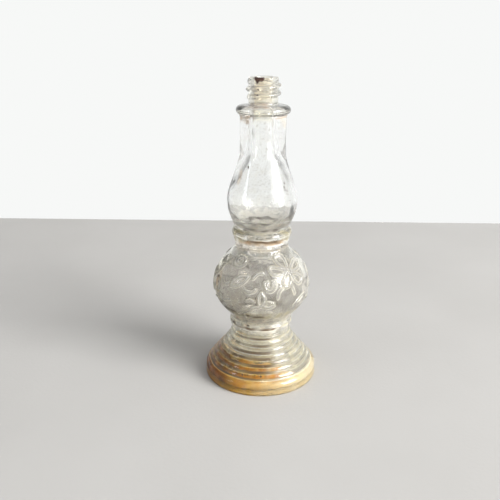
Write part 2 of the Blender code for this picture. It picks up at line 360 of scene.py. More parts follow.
def flower_side(turn):
    """Return the raised lines of one face of the globe, turned about the axis.

    Each row starts with the azimuth and height of its middle. A petal then has its direction,
    length and width, a loop its half axes and its first and last angle, and a stroke its points.
    """
    petals = (
        (40, 47.0, 106, 7.6, 4.0), (40, 47.0, 170, 8.0, 3.2), (40, 47.0, 15, 8.2, 3.2),
        (40, 47.0, -48, 8.4, 3.6), (40, 47.0, -118, 7.2, 3.4),
        (92, 40.0, 70, 5.2, 3.0), (92, 40.0, 200, 4.8, 2.8), (92, 40.0, -50, 5.0, 2.8),
    )
    loops = (
        (40, 47.0, 0.9, 0.9, 0, 360), (-38, 50.0, 2.3, 2.2, 0, 360), (-38, 50.0, 1.1, 1.1, 0, 360),
        (10.5, 43.8, 2.0, 2.7, 165, 385), (10.5, 43.9, 1.0, 1.6, 150, 390),
        (-14, 42.4, 2.3, 1.6, 190, 340), (108, 48.6, 1.9, 1.9, 0, 360),
    )
    strokes = (
        (-0.5, 38.3, ((0.2, 2.4), (-0.9, 0.6), (-0.7, -1.6), (0.1, -2.7))),
        (-0.5, 38.3, ((0.2, 2.4), (1.2, 0.9), (1.3, -0.6), (0.1, -2.7))),
        (-28, 44.0, ((-3.4, -2.2), (-1.0, -1.9), (1.4, -0.2), (3.2, 2.2))),
        (-28, 44.0, ((-3.4, -2.2), (-2.2, 0.2), (0.2, 1.9), (3.2, 2.2))),
        (-50, 42.8, ((-1.6, 0.3), (-0.6, -0.8), (1.0, -0.9), (2.4, 0.0))),
        (-62, 40.0, ((-1.4, 2.8), (0.6, 1.2), (0.8, -1.0), (-1.2, -2.6))),
        (-72, 46.0, ((-1.2, 3.2), (0.9, 1.4), (1.0, -1.0), (-1.0, -3.0))),
        (-48, 35.4, ((-2.6, 1.4), (-0.4, 0.2), (2.4, 1.2))),
        (-23, 31.6, ((2.8, 1.8), (0.6, 0.4), (-2.2, -1.6))),
        (-23, 31.6, ((0.6, 0.4), (0.2, -1.4), (0.8, -2.6))),
        (8, 36.6, ((-1.9, -0.5), (-0.2, 0.6), (1.9, 0.1))),
        (8, 35.4, ((-1.6, 0.2), (0.2, -0.5), (2.2, 0.2))),
        (-8, 34.6, ((-1.8, -0.9), (-0.2, 0.2), (1.6, 0.5))),
        (-13, 37.4, ((-1.2, 0.0), (0.0, 0.6), (1.4, 0.1))),
        (22, 40.2, ((-0.9, -1.7), (-0.4, 0.4), (0.7, 1.6))),
        (39, 41.2, ((-0.8, 2.2), (0.2, 0.2), (0.9, -2.2))),
        (-5, 46.6, ((-1.6, -1.2), (-0.3, 0.5), (1.8, 1.0))),
        (52, 35.8, ((-3.0, -1.6), (-0.6, 0.5), (2.8, 1.5))),
        (52, 35.8, ((-3.0, -1.6), (0.2, -1.1), (2.8, 1.5))),
        (78, 33.8, ((-2.4, 1.0), (0.0, -0.6), (3.2, 1.2))),
        (112, 34.4, ((-3.0, -1.2), (0.0, 0.8), (3.0, -0.6))),
    )
    lines = [petal(turn + azimuth, *rest) for azimuth, *rest in petals]
    lines += [loop(turn + azimuth, *rest) for azimuth, *rest in loops]
    return lines + [stroke(turn + azimuth, *rest) for azimuth, *rest in strokes]


FLOWER_LINES = flower_side(0) + flower_side(180)


def line_distance(points):
    """Return each point's distance from the nearest raised line, up to a millimetre and a half."""
    far = 1.5
    flat = points.reshape(-1, 3)
    nearest = np.full(len(flat), far)
    for line in FLOWER_LINES:
        near = ((flat > line.min(axis=0) - far) & (flat < line.max(axis=0) + far)).all(axis=1)
        close = np.nonzero(near)[0]
        if not len(close):
            continue
        spots = flat[close]
        for start, stop in zip(line, line[1:]):
            run = stop - start
            share = np.clip((spots - start) @ run / max(run @ run, 1e-9), 0.0, 1.0)
            away = np.linalg.norm(spots - start - share[:, None] * run, axis=1)
            nearest[close] = np.minimum(nearest[close], away)
    return nearest.reshape(points.shape[:-1])


# ---------------------------------------------------------------------------------------
# Stains, and painted light and shade, in the glass, painted on its vertices
# ---------------------------------------------------------------------------------------

# Share of the light that passes the glass at each grade of dullness, where one grade gives
# way to the next, and how far the grades are scattered into each other.
GLASS_CLARITY = (0.97, 0.91, 0.82, 0.70, 0.52, 0.30)
GRADE_LIMITS = (0.20, 0.30, 0.42, 0.56, 0.72)
GRADE_SCATTER = 0.03

# Each colour: red, green, blue, and how dull it makes the glass.
CLEAR = (0.975, 0.978, 0.970, 0.0)
CREAM = (0.95, 0.92, 0.80, 0.10)
# Milky white: a milky film, brightened as painted light.
MILK_AND_PAINTED_LIGHT = (0.97, 0.94, 0.86, 0.78)
TAN = (0.66, 0.52, 0.35, 0.42)
BROWN = (0.30, 0.17, 0.08, 0.85)
DARK = (0.07, 0.045, 0.03, 1.0)
OLIVE = (0.40, 0.35, 0.20, 0.60)
GREY = (0.40, 0.41, 0.41, 0.45)
GOLD = (0.66, 0.38, 0.09, 0.55)
STRAW = (0.94, 0.89, 0.70, 0.21)
# Near-black brown: painted shade under the lower collar's bead and on the waist ring, and soot with
# painted shade in the foot's grooves.
SOOT_AND_SHADE = (0.10, 0.06, 0.03, 0.95)
AMBER = (0.95, 0.63, 0.14, 0.07)
RUST = (0.80, 0.36, 0.08, 0.10)
HONEY = (0.99, 0.90, 0.68, 0.10)
BASE = (0.96, 0.82, 0.52, 0.95)
IVORY = (0.97, 0.93, 0.80, 0.34)
# Grey: a faint haze, and painted shade for the darker middle of the globe.
HAZE_AND_SHADE = (0.50, 0.472, 0.462, 0.10)
# White: painted light down the throat.
THROAT_PAINTED_LIGHT = (0.97, 0.95, 0.90, 0.95)
# Pale: a painted highlight on the crests of the raised lines, on a duller surface.
CREST_HIGHLIGHT = (1.00, 0.99, 0.95, 0.38)
# Dark olive: dirt and painted shade beside the raised lines and in the foot's grooves.
SHADE = (0.24, 0.21, 0.13, 0.75)

# Each entry, stain and painted light and shade alike: colour, strength, lowest, highest, vertical
# softness, azimuth, half, softness.
ALL_ROUND = (0, 180, 10)
OUTSIDE_STAINS_AND_SHADING = (
    # Neck and upper collar
    (CREAM, 0.7, 102.2, 115.0, 1.0, *ALL_ROUND),
    (TAN, 0.5, 108.0, 113.5, 1.5, -20, 14, 10),
    (GREY, 0.5, 105.3, 106.1, 0.4, *ALL_ROUND),
    (BROWN, 0.60, 105.4, 106.2, 0.4, -20, 28, 20),
    (GREY, 0.5, 101.6, 102.5, 0.4, *ALL_ROUND),
    (BROWN, 0.70, 101.6, 102.4, 0.4, -58, 22, 20),
    (BROWN, 0.60, 101.6, 102.4, 0.4, 55, 25, 25),
    # Drips under the upper collar, and the chimney
    (TAN, 0.7, 99.8, 101.4, 0.6, -58, 20, 8),
    (BROWN, 0.6, 100.5, 101.4, 0.4, -60, 16, 8),
    (BROWN, 0.8, 99.3, 100.7, 0.5, -42, 3, 4),
    (TAN, 0.65, 98.6, 101.4, 0.9, 66, 12, 12),
    (GOLD, 0.5, 78.8, 82.8, 1.0, -50, 2, 4),
    (CREAM, 0.5, 60.3, 65.0, 4.0, *ALL_ROUND),
    # Lower collar
    (OLIVE, 0.8, 60.0, 60.9, 0.4, *ALL_ROUND),
    (CREAM, 0.6, 57.4, 60.0, 0.6, *ALL_ROUND),
    (OLIVE, 0.9, 58.7, 60.3, 0.5, -62, 18, 14),
    (OLIVE, 0.7, 58.0, 60.3, 0.5, 62, 16, 14),
    # Dark underside of the lower collar's bead, darkest at the front: painted shade.
    (OLIVE, 0.9, 56.6, 57.9, 0.35, *ALL_ROUND),
    (BROWN, 0.95, 56.6, 57.9, 0.35, 5, 34, 22),
    (SOOT_AND_SHADE, 0.90, 56.8, 57.7, 0.30, 8, 20, 14),
    (TAN, 0.45, 54.2, 56.8, 0.6, -40, 50, 30),
    (TAN, 0.80, 53.2, 54.2, 0.35, *ALL_ROUND),
    # Globe
    (CREAM, 0.8, 28.0, 52.5, 3.0, *ALL_ROUND),
    (STRAW, 0.8, 30.0, 47.0, 4.0, -78, 12, 14),
    (TAN, 0.7, 37.5, 44.5, 2.0, -66, 5, 6),
    (BROWN, 0.5, 38.8, 42.6, 0.8, -67, 2, 4),
    (OLIVE, 0.60, 28.5, 31.0, 1.6, -10, 60, 25),
    (OLIVE, 0.40, 28.5, 31.0, 1.6, *ALL_ROUND),
    (DARK, 0.90, 29.4, 30.3, 0.4, -12, 11, 8),
    (DARK, 0.92, 30.7, 31.6, 0.4, -48, 14, 8),
    (DARK, 0.85, 32.4, 33.3, 0.5, -59, 7, 6),
    (DARK, 0.80, 31.2, 33.2, 0.5, 54, 5, 5),
    # Waist ring
    (IVORY, 0.9, 21.0, 28.0, 1.2, *ALL_ROUND),
    # Dark lines in the creases above and below the waist ring, and one along its upper side that is
    # darkest at the front: painted shade.
    (OLIVE, 0.5, 24.4, 25.2, 0.3, *ALL_ROUND),
    (OLIVE, 0.6, 22.8, 23.3, 0.3, *ALL_ROUND),
    (SOOT_AND_SHADE, 0.95, 22.7, 23.4, 0.3, -20, 46, 10),
    (OLIVE, 0.6, 19.5, 20.5, 0.3, *ALL_ROUND),
    # Foot
    (STRAW, 0.9, 0.0, 19.2, 1.0, *ALL_ROUND),
    (AMBER, 1.0, 5.8, 10.6, 3.0, -52, 44, 50),
    (HONEY, 1.5, -1.0, 5.5, 0.3, *ALL_ROUND),
    (AMBER, 1.4, -1.0, 5.5, 0.3, -80, 42, 60),
    (RUST, 0.8, -1.0, 5.2, 0.5, -76, 16, 26),
    (RUST, 0.6, 6.2, 10.4, 2.0, -76, 16, 30),
)
INSIDE_STAINS_AND_SHADING = (
    # Neck
    (CREAM, 0.8, 101.0, 114.5, 2.0, *ALL_ROUND),
    (TAN, 0.50, 105.0, 114.0, 1.0, -10, 60, 60),
    # Bottom of the bulb, and the throat: a milky film on the floor, brightened as painted light and
    # spread up the back wall, white painted light down the throat, and a dark ring of painted shade
    # round its rim
    (MILK_AND_PAINTED_LIGHT, 0.90, 61.0, 64.0, 0.8, *ALL_ROUND),
    (MILK_AND_PAINTED_LIGHT, 0.55, 61.0, 65.0, 7.0, 180, 46, 30),
    (TAN, 0.35, 61.0, 64.0, 1.0, 20, 40, 30),
    (THROAT_PAINTED_LIGHT, 0.9, 57.5, 61.0, 0.6, *ALL_ROUND),
    (DARK, 0.95, 61.3, 62.2, 0.25, *ALL_ROUND),
    # Globe and foot
    # Grey inside the globe: a faint haze, and painted shade that darkens the globe's middle seen
    # through its cavity.
    (HAZE_AND_SHADE, 0.9, 26.5, 49.0, 2.5, *ALL_ROUND),
    (OLIVE, 0.50, 23.0, 28.5, 2.0, -30, 80, 40),
    (CREAM, 0.7, 2.0, 23.0, 1.0, *ALL_ROUND),
    (HONEY, 0.8, 7.0, 12.0, 3.0, -68, 36, 30),
)

# Each groove of the foot: its height, and the middle and half of the stretch where it is darkest,
# with soot and painted shade.
GROOVES = (
    (18.3, -14, 24), (15.9, -14, 24), (13.7, -14, 24), (11.9, -16, 24), (9.85, -18, 26),
    (7.9, -24, 30), (5.75, -46, 36),
)


def painted(points, azimuth, stains, seed):
    """Return each point's colour and dullness from a list of stains and painted light and shade,
    with uneven edges.
    """
    height = points[..., 2] + 0.25 * ripple(points, 5.0, seed)
    turned = azimuth + 3.0 * ripple(points, 7.0, seed + 1)
    colour = np.tile(np.array(CLEAR), (*points.shape[:-1], 1))
    for paint_colour, strength, low, high, soft, middle, half, spread in stains:
        cover = between(height, low, high, soft)
        if (middle, half, spread) != ALL_ROUND:
            cover = cover * facing(turned, middle, half, spread)
        cover = strength * cover * np.clip(0.85 + 0.25 * ripple(points, 3.0, seed + 2), 0.0, 1.2)
        cover = np.clip(cover, 0.0, 1.0)[..., None]
        colour = colour * (1.0 - cover) + np.array(paint_colour) * cover
    return colour


def groove_dirt_and_shade(points, azimuth):
    """Return how deep in a groove of the foot each point lies, and how dark it is there with soot
    and painted shade.
    """
    height = points[..., 2]
    # Each groove's band reaches up under the rib above it, where dirt and painted shade darken it.
    below = 0.15
    above = 0.50
    groove = np.zeros(height.shape)
    front_soot_and_shade = np.zeros(height.shape)
    for level, middle, half in GROOVES:
        in_groove = between(height, level - below, level + above, 0.28)
        groove = np.maximum(groove, in_groove)
        front_soot_and_shade = np.maximum(front_soot_and_shade, in_groove * facing(azimuth, middle, half, 22))
    return groove, front_soot_and_shade * np.clip(0.9 + 0.3 * ripple(points, 6.0, 45), 0.0, 1.0)


def outside_paint(points, azimuth):
    """Return the outer wall's colours and dullness, with dirt and painted shade beside the lines and
    in the grooves, and painted highlights on the lines' crests.
    """
    crest_spread = 0.28
    flank_middle = 0.60
    flank_spread = 0.20
    base_radius = 21.6
    base_height = 1.3
    colour = painted(points, azimuth, OUTSIDE_STAINS_AND_SHADING, 41)
    height = points[..., 2]
    away = line_distance(points)
    crest = np.exp(-(away / crest_spread) ** 2)
    flank = np.exp(-((away - flank_middle) / flank_spread) ** 2)
    groove, front_soot_and_shade = groove_dirt_and_shade(points, azimuth)
    # Dirt and painted shade beside the raised lines and in the grooves, soot and painted shade in
    # the grooves' front stretches, and a painted highlight along each line's crest.
    for paint_colour, cover in (
        (SHADE, 0.90 * flank), (SHADE, 0.65 * groove), (SOOT_AND_SHADE, 0.90 * front_soot_and_shade), (CREST_HIGHLIGHT, crest),
    ):
        colour = colour * (1.0 - cover[..., None]) + np.array(paint_colour) * cover[..., None]
    colour[..., 3] += 0.08 + 0.08 * between(height, -1.0, GLOBE_TOP - 1.4, 6.0)
    colour[..., 3] += 0.03 * ripple(points, 6.0, 44)
    radius = np.hypot(points[..., 0], points[..., 1])
    under = np.clip((base_radius - radius) / 0.4, 0.0, 1.0)
    under = (under * between(height, -1.0, base_height, 0.2))[..., None]
    return colour * (1.0 - under) + np.array(BASE) * under


def inside_paint(points, azimuth):
    """Return the cavity wall's colours and dullness."""
    colour = painted(points, azimuth, INSIDE_STAINS_AND_SHADING, 51)
    colour[..., 3] += 0.10 + 0.05 * ripple(points, 6.0, 54)
    return colour


# ---------------------------------------------------------------------------------------
# The glass body
# ---------------------------------------------------------------------------------------

def turned_skin(wall, middle_below, fine_above=math.inf):
    """Return a wall's points and azimuths row by row, and each row's vertex count.

    Rows under middle_below are finer, and those of them over fine_above are finest.
    """
    heights = wall.points[:, 1]
    counts = np.where(heights < middle_below, MIDDLE, COARSE)
    counts = np.where((heights < middle_below) & (heights > fine_above), FINE, counts)
    along = np.repeat(wall.length, counts)
    azimuth = np.concatenate([np.arange(count) * 360.0 / count for count in counts])
    return wall.at(along, azimuth), azimuth, list(counts)


def skin_faces(counts):
    """Return faces through rows of vertices, and closing fans to two last vertices.

    Where a row has more vertices than the next, each face takes several of them.
    """
    starts = np.concatenate([[0], np.cumsum(counts)])
    faces = []
    for index in range(len(counts) - 1):
        n, m = int(counts[index]), int(counts[index + 1])
        a, b = int(starts[index]), int(starts[index + 1])
        steps = min(n, m)
        for j in range(steps):
            top = [a + (j * n // steps + k) % n for k in range(n // steps + 1)]
            bottom = [b + (j * m // steps + k) % m for k in range(m // steps + 1)]
            faces.append(top[:1] + bottom + top[:0:-1])
    last = int(starts[-1])
    for j in range(int(counts[0])):
        faces.append([last, j, (j + 1) % int(counts[0])])
    start = int(starts[-2])
    for j in range(int(counts[-1])):
        faces.append([last + 1, start + (j + 1) % int(counts[-1]), start + j])
    return faces


def make_piece(name, points, faces, material, colours=None):
    """Return an object from points in millimetres, shaded smooth, with painted colours."""
    mesh = bpy.data.meshes.new(name)
    mesh.from_pydata([tuple(point * MM) for point in points], [], faces)
    mesh.materials.append(material)
    mesh.shade_smooth()
    if colours is not None:
        layer = mesh.color_attributes.new("paint_colour", "FLOAT_COLOR", "POINT")
        values = np.ones((len(points), 4))
        values[:, :3] = colours[:, :3]
        layer.data.foreach_set("color", values.ravel())
    mesh.validate()
    shape = bmesh.new()
    shape.from_mesh(mesh)
    bmesh.ops.recalc_face_normals(shape, faces=shape.faces)
    shape.to_mesh(mesh)
    shape.free()
    piece = bpy.data.objects.new(name, mesh)
    bpy.context.scene.collection.objects.link(piece)
    return piece


def make_glass_body():
    """Make the bottle's glass, cavity and all, as one closed skin.

    The soiled stretches, and those painted with shade and light, are the same glass with a duller,
    less clear surface, in grades that are scattered into each other.
    """
    inner, inner_azimuth, inner_counts = turned_skin(INSIDE, RESIDUE_TOP)
    outer, outer_azimuth, outer_counts = turned_skin(OUTSIDE, GLOBE_TOP - 0.5, GLOBE_FOOT + 1.0)
    first = inner[:inner_counts[0]].mean(axis=0)
    last = outer[-outer_counts[-1]:].mean(axis=0)
    points = np.concatenate([inner, outer, [first, last]])
    colours = np.concatenate([
        inside_paint(inner, inner_azimuth), outside_paint(outer, outer_azimuth), [CREAM, CREAM],
    ])
    faces = skin_faces(inner_counts + outer_counts)
    clearest = glass_material("glass_0", GLASS_CLARITY[0])
    body = make_piece("glass_body", points, faces, clearest, colours)
    for grade, clarity in enumerate(GLASS_CLARITY[1:], 1):
        body.data.materials.append(glass_material(f"glass_{grade}", clarity))
    corners = np.array([face[0] for face in faces])
    scatter = np.random.RandomState(5).uniform(-GRADE_SCATTER, GRADE_SCATTER, len(faces))
    grades = np.digitize(colours[corners, 3] + scatter, GRADE_LIMITS)
    body.data.polygons.foreach_set("material_index", grades.astype(np.int32))
    body.data.update()
    return body


# ---------------------------------------------------------------------------------------
# Materials
# ---------------------------------------------------------------------------------------

def fill_ramp(node, stops):
    """Give a colour ramp node its stops, each a position and a colour."""
    elements = node.color_ramp.elements
    while len(elements) < len(stops):
        elements.new(0.5)
    for element, (position, colour) in zip(elements, stops):
        element.position = position
        element.color = (*colour, 1.0)


class Nodes:
    """Short calls for building one material's node tree."""

    def __init__(self, name):
        self.material = bpy.data.materials.new(name)
        self.material.use_nodes = True
        self.tree = self.material.node_tree
        self.shader = self.tree.nodes["Principled BSDF"]
        self.place = self.tree.nodes.new("ShaderNodeTexCoord").outputs["Object"]

    def add(self, kind, **settings):
        """Add a node with its settings."""
        node = self.tree.nodes.new(kind)
        for key, value in settings.items():
            setattr(node, key, value)
        return node

    def link(self, source, target):
        """Link one socket to another."""
        self.tree.links.new(source, target)

    def mapped(self, scale):
        """Return the place on the piece, scaled along each axis."""
        node = self.add("ShaderNodeMapping")
        node.inputs["Scale"].default_value = scale
        self.link(self.place, node.inputs["Vector"])
        return node.outputs["Vector"]

    def noise(self, scale, detail=3.0, rough=0.5, vector=None):
        """Return an uneven value over the piece."""
        node = self.add("ShaderNodeTexNoise")
        node.inputs["Scale"].default_value = scale
        node.inputs["Detail"].default_value = detail
        node.inputs["Roughness"].default_value = rough
        self.link(vector or self.place, node.inputs["Vector"])
        return node.outputs["Fac"]

    def ramp(self, value, stops):
        """Turn a value into a colour."""
        node = self.add("ShaderNodeValToRGB")
        fill_ramp(node, stops)
        self.link(value, node.inputs["Fac"])
        return node.outputs["Color"]

    def range(self, value, low, high, to_low, to_high):
        """Turn one range of a value softly into another."""
        node = self.add("ShaderNodeMapRange", clamp=True, interpolation_type="SMOOTHSTEP")
        sockets = ("From Min", "From Max", "To Min", "To Max")
        for socket, number in zip(sockets, (low, high, to_low, to_high)):
            node.inputs[socket].default_value = number
        self.link(value, node.inputs["Value"])
        return node.outputs["Result"]

    def multiply(self, share, first, second):
        """Darken a first colour by a second, for a share."""
        node = self.add("ShaderNodeMix", data_type="RGBA", blend_type="MULTIPLY")
        self.link(share, node.inputs["Factor"])
        for name, value in (("A", first), ("B", second)):
            socket = [s for s in node.inputs if s.name == name and s.type == "RGBA"][0]
            if isinstance(value, tuple):
                socket.default_value = (*value, 1.0)
            else:
                self.link(value, socket)
        return [s for s in node.outputs if s.type == "RGBA"][0]

    def painted(self):
        """Return the colour painted on the piece's vertices."""
        return self.add("ShaderNodeAttribute", attribute_name="paint_colour").outputs["Color"]

    def bump(self, height, distance):
        """Give the surface fine relief of a depth in metres."""
        node = self.add("ShaderNodeBump")
        node.inputs["Distance"].default_value = distance
        node.inputs["Strength"].default_value = 1.0
        self.link(height, node.inputs["Height"])
        self.link(node.outputs["Normal"], self.shader.inputs["Normal"])


def glass_material(name, transmission):
    """Old glass, clear or clouded, at one grade: its painted stains and painted light and shade, a
    speckled haze and ripples.
    """
    n = Nodes(name)
    haze = n.range(n.noise(230.0, 4.0, 0.6), 0.52, 0.78, 0.0, 0.5)
    colour = n.multiply(haze, n.painted(), (0.90, 0.87, 0.80))
    speckle = n.range(n.noise(1500.0, 2.0), 0.60, 0.74, 0.0, 0.6)
    colour = n.multiply(speckle, colour, (0.50, 0.46, 0.40))
    n.link(colour, n.shader.inputs["Base Color"])
    dull = 1.0 - transmission
    smeared = n.range(n.noise(160.0, 5.0, 0.6), 0.40, 0.75, 0.02 + 0.20 * dull, 0.10 + 0.35 * dull)
    n.link(smeared, n.shader.inputs["Roughness"])
    n.shader.inputs["Transmission Weight"].default_value = transmission
    n.shader.inputs["IOR"].default_value = 1.5
    n.bump(n.noise(260.0, 2.0), 0.00006)
    return n.material


def film_material():
    """Amber film: hardened, glossy and a little see-through, in its painted colours."""
    n = Nodes("amber_film")
    streaks = n.range(n.noise(1.0, 3.0, 0.5, n.mapped((300.0, 300.0, 110.0))), 0.5, 0.8, 0.0, 0.5)
    colour = n.multiply(streaks, n.painted(), (0.85, 0.60, 0.30))
    n.link(colour, n.shader.inputs["Base Color"])
    n.shader.inputs["Transmission Weight"].default_value = 0.15
    n.shader.inputs["IOR"].default_value = 1.2
    n.link(n.range(n.noise(900.0, 3.0), 0.3, 0.7, 0.10, 0.25), n.shader.inputs["Roughness"])
    n.bump(n.noise(700.0, 3.0), 0.00003)
    return n.material


def crust_material():
    """Dull dark brown matter, cracked and uneven."""
    n = Nodes("brown_crust")
    colour = n.ramp(n.noise(1500.0, 5.0, 0.65), [
        (0.30, (0.022, 0.010, 0.007)), (0.55, (0.060, 0.027, 0.018)), (0.75, (0.15, 0.075, 0.045)),
    ])
    n.link(colour, n.shader.inputs["Base Color"])
    n.link(n.range(n.noise(2600.0, 3.0), 0.3, 0.7, 0.45, 0.8), n.shader.inputs["Roughness"])
    n.bump(n.noise(3200.0, 5.0, 0.6), 0.00012)
    return n.material


def floor_material():
    """Plain pale studio floor."""
    n = Nodes("pale_floor")
    n.link(
        n.ramp(n.noise(14.0, 3.0), [(0.3, (0.47, 0.458, 0.44)), (0.7, (0.50, 0.488, 0.47))]),
        n.shader.inputs["Base Color"],
    )
    n.shader.inputs["Roughness"].default_value = 0.95
    n.shader.inputs["Specular IOR Level"].default_value = 0.12
    n.bump(n.noise(700.0, 3.0), 0.00005)
    return n.material


# ---------------------------------------------------------------------------------------
# Residue
# ---------------------------------------------------------------------------------------

def layer_faces(rows, columns, closed):
    """Return the faces of a layer's top and base grids, and of the edges that join them."""
    under = (rows + 1) * columns
    last = columns if closed else columns - 1
    faces = []
    for i in range(rows):
        for j in range(last):
            a, b = i * columns + j, i * columns + (j + 1) % columns
            c, d = b + columns, a + columns
            faces.append([a, d, c, b])
            faces.append([under + a, under + b, under + c, under + d])
    for j in range(last):
        a, b = j, (j + 1) % columns
        faces.append([a, b, under + b, under + a])
        c, d = rows * columns + j, rows * columns + (j + 1) % columns
        faces.append([d, c, under + c, under + d])
    if not closed:
        for i in range(rows):
            a, b = i * columns, (i + 1) * columns
            faces.append([b, a, under + a, under + b])
            c, d = a + columns - 1, b + columns - 1
            faces.append([c, d, under + d, under + c])
    return faces


def make_layer(name, wall, azimuths, start, reach, thickness, gap, material, paint=None):
    """Make a closed layer that lies on a wall, or below its surface where the gap is negative.

    start and reach are distances along the wall's outline: where the layer begins, and for
    each azimuth how far it goes. thickness gives its depth for shares of the way, azimuths and
    points. A layer that goes all the way round closes on itself.
    """
    rows = 26
    closed = azimuths[-1] - azimuths[0] > 359.0
    turned = azimuths[:-1] if closed else azimuths
    share = np.linspace(0.0, 1.0, rows + 1)[:, None]
    along = start + share * reach(turned)[None, :]
    grid = np.broadcast_to(turned[None, :], along.shape)
    base = wall.at(along, grid, gap)
    depth = thickness(np.broadcast_to(share, along.shape), grid, base)
    top = wall.at(along, grid, gap + depth)
    points = np.concatenate([top.reshape(-1, 3), base.reshape(-1, 3)])
    faces = layer_faces(rows, len(turned), closed)
    colours = None
    if paint:
        colours = np.concatenate([paint(skin, grid).reshape(-1, 3) for skin in (top, base)])
    return make_piece(name, points, faces, material, colours)


def film_strength(points, azimuth):
    """Return how strong the amber is: most at the left and front, low down."""
    side = 0.05 + 0.95 * facing(azimuth, -50, 44, 60)
    height = points[..., 2]
    low = np.maximum(between(height, 5.2, 8.8, 1.2), 0.8 * facing(azimuth, -84, 30, 50))
    low = 0.30 + 0.70 * low
    patch = np.clip(0.85 + 0.25 * ripple(points, 6.0, 61) + 0.12 * ripple(points, 2.0, 62), 0.0, 1.2)
    return np.clip(side * low * patch, 0.0, 1.0)


# The film's colours, and the heights and half widths of its two rows of dark spots.
FILM_CLEAR = np.array((0.92, 0.88, 0.76))
FILM_GOLD = np.array((0.92, 0.80, 0.50))
FILM_AMBER = np.array((0.72, 0.33, 0.015))
FILM_DEEP = np.array((0.18, 0.055, 0.006))
FILM_SPOT = np.array((0.16, 0.05, 0.01))
SPOT_ROWS = ((8.6, 0.5), (6.6, 0.7))


def film_paint(points, azimuth):
    """Return the film's colour, from nearly clear through amber to dark brown."""
    strength = film_strength(points, azimuth)[..., None]
    golden = facing(azimuth, -50, 60, 70)[..., None]
    pale = FILM_CLEAR + (FILM_GOLD - FILM_CLEAR) * golden
    colour = pale + (FILM_AMBER - pale) * np.clip(strength * 1.4, 0.0, 1.0)
    height = points[..., 2]
    left = facing(azimuth, -72, 22, 28) * np.clip(0.8 + 0.3 * ripple(points, 4.0, 64), 0.0, 1.0)
    colour = colour + (FILM_DEEP - colour) * left[..., None]
    rows = sum(np.exp(-((height - middle) / half) ** 2) for middle, half in SPOT_ROWS)
    spots = np.clip(0.35 + 0.6 * ripple(points, 1.6, 63), 0.0, 1.0) * np.clip(rows, 0.0, 1.0)
    spots = 0.8 * (spots * facing(azimuth, -40, 38, 24))[..., None]
    return colour * (1.0 - spots) + spots * FILM_SPOT


def make_foot_film(material):
    """Make the amber residue that covers the inside of the foot's wall and its corner."""
    azimuths = np.linspace(-180.0, 180.0, 289)
    start = INSIDE.nearest(14.0, 2.0)
    ring_radius = 16.0
    lowest = 5.3
    rise = 4.9
    least = 0.16
    soft_edge = 0.15
    sunk = 0.12

    def reach(azimuth):
        ring = turned_point(ring_radius, azimuth, 0.0)
        high = lowest + rise * facing(azimuth, -58, 60, 52)
        high += 0.30 * ripple(ring, 7.0, 23) + 0.15 * ripple(ring, 2.0, 24)
        return INSIDE.level(high) - start

    def thickness(share, azimuth, points):
        corner = 0.25 * between(points[..., 2], 0.0, 3.0, 2.0)
        edge = np.clip((1.0 - share) / soft_edge, 0.0, 1.0) * np.clip(share / soft_edge, 0.0, 1.0)
        return least + edge * (0.10 + 0.03 * ripple(points, 3.0, 25) + corner)

    return make_layer(
        "foot_film", INSIDE, azimuths, start, reach, thickness, -sunk, material, film_paint,
    )


def make_lip_scrap(material):
    """Make the dark scrap that clings over the lip at the front left."""
    middle = -17.0
    half = 20.0
    azimuths = np.linspace(middle - half, middle + half, 31)
    ring_radius = 5.0
    start = 0.15
    shortest = 0.25
    longest = 1.65
    least = 0.05
    soft_edge = 0.2
    soft_side = 4.0
    gap = 0.03

    def reach(azimuth):
        bulge = np.sqrt(np.clip(1.0 - ((azimuth - middle) / (half + 0.5)) ** 2, 0.0, 1.0))
        ring = turned_point(ring_radius, azimuth, 0.0)
        return shortest + longest * bulge * (1.0 + 0.22 * ripple(ring, 1.5, 31))

    def thickness(share, azimuth, points):
        edge = np.clip((1.0 - share) / soft_edge, 0.0, 1.0) * np.clip(share / soft_edge, 0.0, 1.0)
        side = np.clip((half - np.abs(azimuth - middle)) / soft_side, 0.0, 1.0)
        return least + edge * side * (0.26 + 0.10 * ripple(points, 1.2, 32))

    return make_layer("lip_scrap", OUTSIDE, azimuths, start, reach, thickness, gap, material)


def blob(wall, sunk, azimuth, height, wide, tall, thick, seed):
    """Return a lumpy drop's points and faces, lying on a wall at a place, or sunk in it."""
    shape = bmesh.new()
    bmesh.ops.create_icosphere(shape, subdivisions=3, radius=1.0)
    ball = np.array([vertex.co for vertex in shape.verts])
    faces = [[vertex.index for vertex in face.verts] for face in shape.faces]
    shape.free()
    uneven = 1.0 + 0.22 * ripple(ball * 2.0, 3.0, seed)
    ball = ball * uneven[:, None]
    along = wall.level(height - ball[:, 2] * tall)
    turned = azimuth + np.degrees(ball[:, 0] * wide / float(wall.radius(height)))
    return wall.at(along, turned, thick * (0.45 + ball[:, 1]) * 0.5 - sunk), faces


def make_blobs(name, wall, sunk, places, material):
    """Make one piece of separate specks at their places."""
    first_seed = 70
    points = []
    faces = []
    count = 0
    for seed, place in enumerate(places, first_seed):
        ball, sides = blob(wall, sunk, *place, seed)
        faces += [[count + corner for corner in side] for side in sides]
        points.append(ball)
        count += len(ball)
    return make_piece(name, np.concatenate(points), faces, material)


